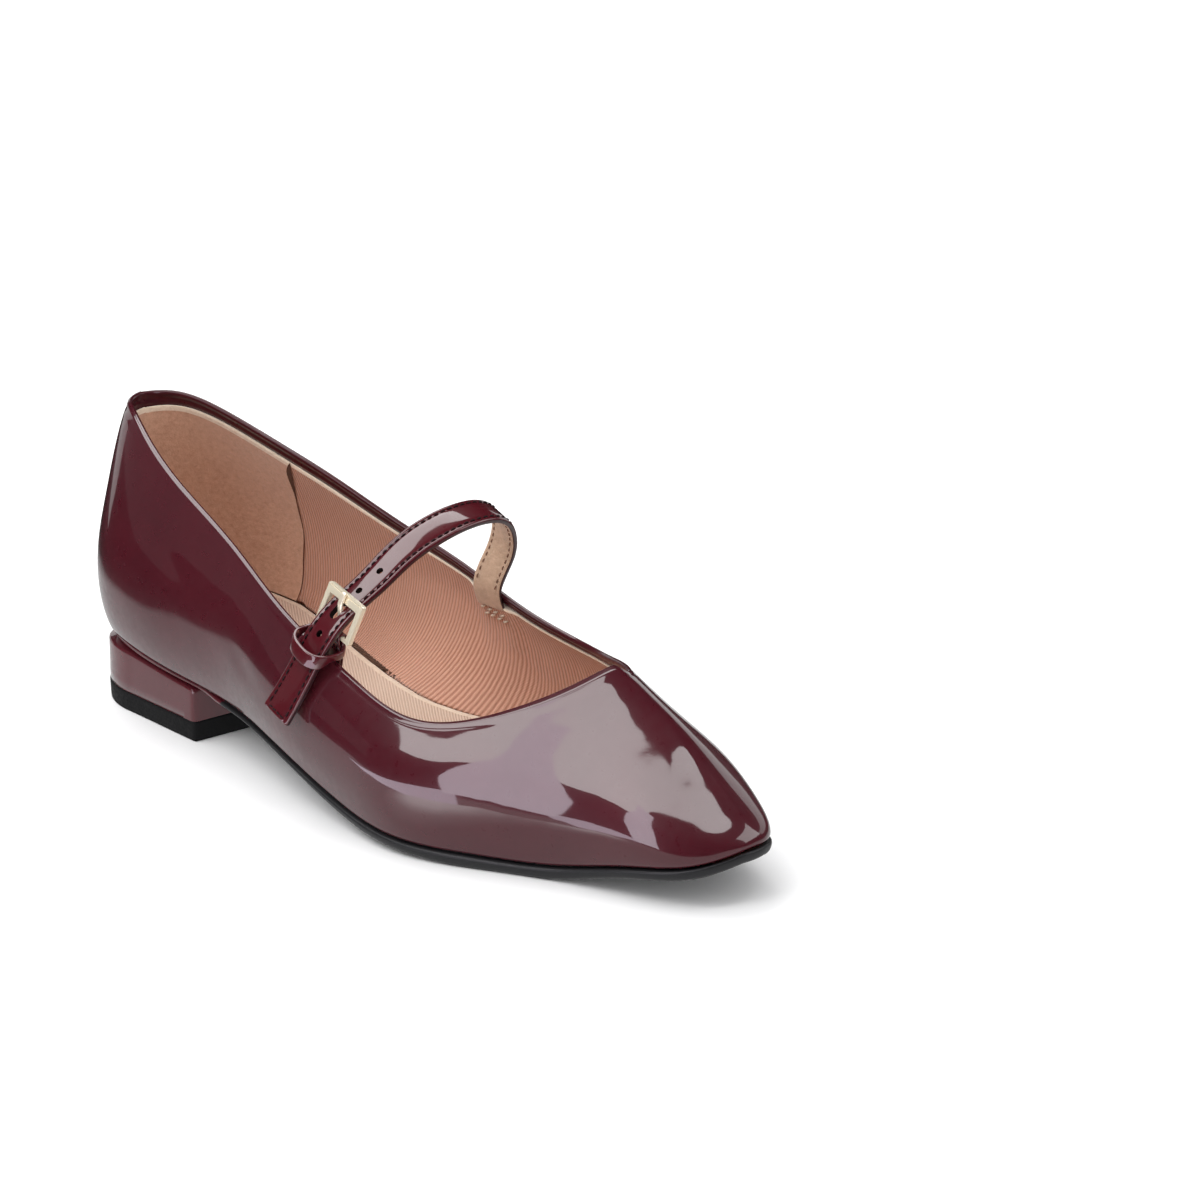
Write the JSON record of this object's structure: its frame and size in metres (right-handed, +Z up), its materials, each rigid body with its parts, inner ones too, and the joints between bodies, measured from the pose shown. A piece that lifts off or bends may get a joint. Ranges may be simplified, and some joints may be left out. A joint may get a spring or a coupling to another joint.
{
  "type": "pointed toe flat",
  "caption": "Right pointed-toe flat with a low collar, an instep strap held by a rectangular pin buckle on the outer side, and a low block heel.",
  "frame": {"origin": "middle of the whole shoe's box, on the ground plane", "axes": "+X from heel to toe, +Z up, the outer (buckle) side at -Y"},
  "size_m": [0.2578, 0.0878, 0.0882],
  "materials": {
    "upper": "high-gloss burgundy patent",
    "outsole": "satin black",
    "insole": "ribbed cream textile",
    "heel": "burgundy patent cover",
    "top_lift": "satin black",
    "strap": "high-gloss burgundy patent",
    "buckle": "polished pale gold",
    "prong": "polished pale gold",
    "tab": "burgundy patent",
    "keeper": "burgundy patent"
  },
  "bodies": {
    "root": {"upper": "upper", "outsole": "outsole", "insole": "insole", "heel_block": "heel", "top_lift": "top_lift", "strap": "strap", "buckle_frame": "buckle", "buckle_prong": "prong", "buckle_tab": "tab", "strap_keeper": "keeper"}
  },
  "joints": []
}
